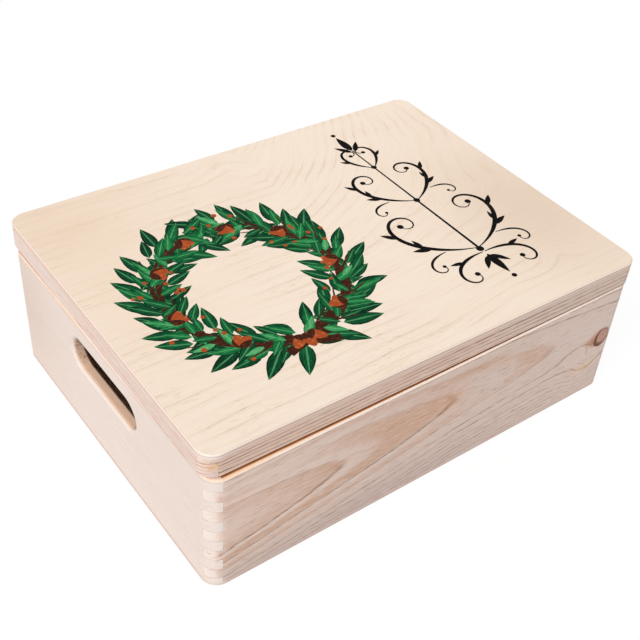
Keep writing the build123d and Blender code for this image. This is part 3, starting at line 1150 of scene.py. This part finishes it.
def scrollwork():
    """Symmetrical scrolls and leaves on an upright stem, each a little higher than the last."""
    mesh = bmesh.new()
    height = 0.02
    for start, heading, length, bend, power, curl, thin, thick, ball, leaves in STROKES:
        places = spiral(start, heading, length, bend, power, curl)
        last = len(places) - 1
        widths = []
        for i in range(last + 1):
            share = i / last
            swell = share / WIDEST if share < WIDEST else (1 - share) / (1 - WIDEST)
            widths.append(thin + (thick - thin) * math.sin(swell * math.pi / 2) ** 1.5)
        for turned in (list, mirrored):
            height += 0.002
            ribbon(mesh, turned(places), widths, height)
            prism(mesh, turned(disc(places[-1], ball)), height + 0.001)
            for share, turn, size in leaves:
                i = int(share * last)
                run = (places[i + 1][0] - places[i - 1][0], places[i + 1][1] - places[i - 1][1])
                leaf = drop(places[i], math.degrees(math.atan2(run[1], run[0])) + turn, size, size * 0.32)
                height += 0.0005
                prism(mesh, turned(leaf), height)
    for x, y, heading, size, width in LEAVES:
        leaf = drop((x, y), heading, size, width)
        prism(mesh, leaf, 0.06)
        prism(mesh, mirrored(leaf), 0.061)
    for number, (x, y, heading, size, width) in enumerate(SPINE):
        prism(mesh, drop((x, y), heading, size, width), 0.062 + number * 0.001)
    for number, (y, radius) in enumerate(BALLS):
        prism(mesh, disc((0, y), radius), 0.065 + number * 0.001)
    prism(mesh, STEM, 0.018)
    return mesh


green = leaf_ink("ink_leaf")
put_on_lid("wreath_leaves", wreath_leaves(green), WREATH, green)
nuts, cups = wreath_fruit()
for name, mesh, drawing, ink_name, colours, sizes, seed in (
    ("wreath_twigs", wreath_twigs(), WREATH, "ink_twig", (TWIG, TWIG_LIGHT), (5, 1.6, 5), 3.0),
    ("wreath_nuts", nuts, WREATH, "ink_rust", (RUST, RUST_LIGHT), (3, 2, 3), 6.0),
    ("wreath_cups", cups, WREATH, "ink_cup", (TWIG, TWIG_LIGHT), (1.6, 1.2, 5), 9.0),
    ("scrollwork", scrollwork(), SCROLLS, "ink_black", (INK, INK_WORN), (4, 1.0, 5), 12.0),
):
    put_on_lid(name, mesh_from(name, mesh), drawing, ink(ink_name, colours, sizes, seed))

# ---------------------------------------------------------------- hinge screws


def screw_mesh(head, shank, length, slot_length, slot_width, slot_depth):
    """A slotted countersunk screw, its head flush at the origin and its point down Z."""
    corner = math.atan2(slot_width, slot_length)
    turns = sorted(
        [math.pi * k / 12 for k in range(24) if k % 12 not in (1, 11)]
        + [corner, math.pi - corner, math.pi + corner, 2 * math.pi - corner]
    )
    mesh = bmesh.new()
    rings = []
    # The slot's floor and its mouth have no radius: their ring is the slot's own outline
    for radius, z in ((None, -slot_depth), (None, -0.02), (head - 0.06, 0.0), (head, -0.06),
                      (shank, shank - head), (shank, -length + 2.0), (shank * 0.35, -length)):
        ring = []
        for turn in turns:
            reach = radius or min(
                slot_length / 2 / max(abs(math.cos(turn)), TINY),
                slot_width / 2 / max(abs(math.sin(turn)), TINY),
            )
            ring.append(mesh.verts.new(Vector((reach * math.cos(turn), reach * math.sin(turn), z)) * MM))
        rings.append(ring)
    for ring, after in zip(rings, rings[1:]):
        for i in range(len(turns)):
            mesh.faces.new((ring[i - 1], ring[i], after[i], after[i - 1]))
    mesh.faces.new(rings[0])
    mesh.faces.new(rings[-1])
    return mesh_from("slotted_screw", mesh)


def screw_heads(node, turn):
    """The middle of each screw's head in a node, in the axes of turn, whose last points out of the wood."""
    places = sorted(tuple(turn.transposed() @ vertex.co) for vertex in nodes[node].data.vertices)
    groups = [[places[0]]]
    for place in places[1:]:
        if place[0] - groups[-1][-1][0] > 5 * MM:
            groups.append([])
        groups[-1].append(place)
    heads = []
    for group in groups:
        x, y, z = zip(*group)
        heads.append(((min(x) + max(x)) / 2, (min(y) + max(y)) / 2, max(z)))
    return heads


def screws(node, body, turn, seed, material):
    """Puts slotted screws, each turned by chance, where a node's plain ones are."""
    shape = screw_mesh(head=1.8, shank=0.9, length=9.0, slot_length=2.7, slot_width=0.5, slot_depth=0.5)
    master = bpy.data.objects.new("screw_master", shape)
    bpy.context.scene.collection.objects.link(master)
    tree = Tree("screws", {"Screw": ("NodeSocketObject", master), "Seed": ("NodeSocketInt", 1)})
    inputs = {"Object": tree.given["Screw"]}
    shape = tree.node("GeometryNodeObjectInfo", inputs=inputs, output="Geometry")
    spin = tree.chance(0.0, 2 * math.pi, tree.given["Seed"])
    placed = tree.node("GeometryNodeInstanceOnPoints", inputs={
        "Points": tree.given["Geometry"], "Instance": shape,
        "Rotation": tree.node("ShaderNodeCombineXYZ", inputs={2: spin}),
    })
    tree.finish(placed, material)
    spots = bpy.data.meshes.new("screw_places")
    spots.from_pydata(screw_heads(node, turn), [], [])
    data = tree.bake(node + "_slotted", spots, {"Screw": master, "Seed": seed})
    bpy.data.objects.remove(master)
    data.transform(turn.to_4x4())
    piece = new_piece(node + "_slotted", data, material)
    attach(piece, body)
    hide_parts(node)


screw_brass = brass("brass_screws", 6.0)
screws("hinge_base_screws", "base", NO_TURN, 3, screw_brass)
screws("hinge_lid_screws", "lid", LID_TURN @ Matrix.Rotation(math.pi, 3, "X"), 8, screw_brass)

# ---------------------------------------------------------------- floor, lights and camera

WHITE = (1, 1, 1, 1)
FLOOR_GREY = 0.6
FLOOR_GLOW = 0.92


def seen_directly(tree):
    """1 for rays from the camera or seen in gloss or glass, and 0 for the light that falls on things."""
    path = tree.nodes.new("ShaderNodeLightPath")
    seen = Wire(tree, path.outputs["Is Camera Ray"])
    for other in ("Is Glossy Ray", "Is Transmission Ray"):
        seen = seen.at_least(Wire(tree, path.outputs[other]))
    return seen


def floor():
    """A white ground that takes soft shadows."""
    bpy.ops.mesh.primitive_plane_add(size=8)
    plane = bpy.context.object
    plane.name = "floor"
    material = bpy.data.materials.new("floor_white")
    material.use_nodes = True
    tree = material.node_tree
    shader = tree.nodes["Principled BSDF"]
    seen = seen_directly(tree)
    feed(shader, "Roughness", 0.9)
    feed(shader, "Base Color", seen * (1 - FLOOR_GREY) + FLOOR_GREY)
    glow = seen.node("ShaderNodeEmission", inputs={"Color": WHITE})
    inputs = {0: seen * FLOOR_GLOW, 1: Wire(tree, shader.outputs[0]), 2: glow}
    surface = seen.node("ShaderNodeMixShader", inputs=inputs)
    feed(tree.nodes["Material Output"], "Surface", surface)
    plane.data.materials.append(material)


def sky(strength):
    """Even light from all round, of a given strength, that the camera sees as white."""
    world = bpy.data.worlds.new("studio")
    bpy.context.scene.world = world
    world.use_nodes = True
    back = world.node_tree.nodes["Background"]
    feed(back, "Color", WHITE)
    feed(back, "Strength", seen_directly(world.node_tree) * (1 - strength) + strength)


def sun(name, direction, strength, angle):
    """A lamp whose light travels in a direction; strength is what it adds to a surface square to it."""
    lamp = bpy.data.lights.new(name, "SUN")
    lamp.energy = strength * math.pi
    lamp.angle = math.radians(angle)
    holder = bpy.data.objects.new(name, lamp)
    holder.rotation_euler = Vector(direction).to_track_quat("-Z", "Y").to_euler()
    bpy.context.scene.collection.objects.link(holder)


def camera(place, ahead, upward, focal_length):
    """The scene's camera, looking ahead from a place."""
    lens = bpy.data.cameras.new("camera")
    lens.lens = focal_length
    lens.sensor_width = 36
    lens.clip_start = 0.01
    holder = bpy.data.objects.new("camera", lens)
    right = ahead.cross(upward).normalized()
    upward = right.cross(ahead).normalized()
    holder.matrix_world = Matrix((right, upward, -ahead)).transposed().to_4x4()
    holder.location = place
    bpy.context.scene.collection.objects.link(holder)
    bpy.context.scene.camera = holder


floor()
sky(strength=0.5)
sun("key", direction=(0.62, 0.29, -0.73), strength=0.68, angle=24)
camera(
    place=Vector((-0.42413, -0.52004, 0.61482)), ahead=Vector((0.48383, 0.59312, -0.64352)),
    upward=Vector((0.34144, 0.54912, 0.76282)), focal_length=58.98,
)
bpy.context.scene.view_settings.view_transform = "Standard"
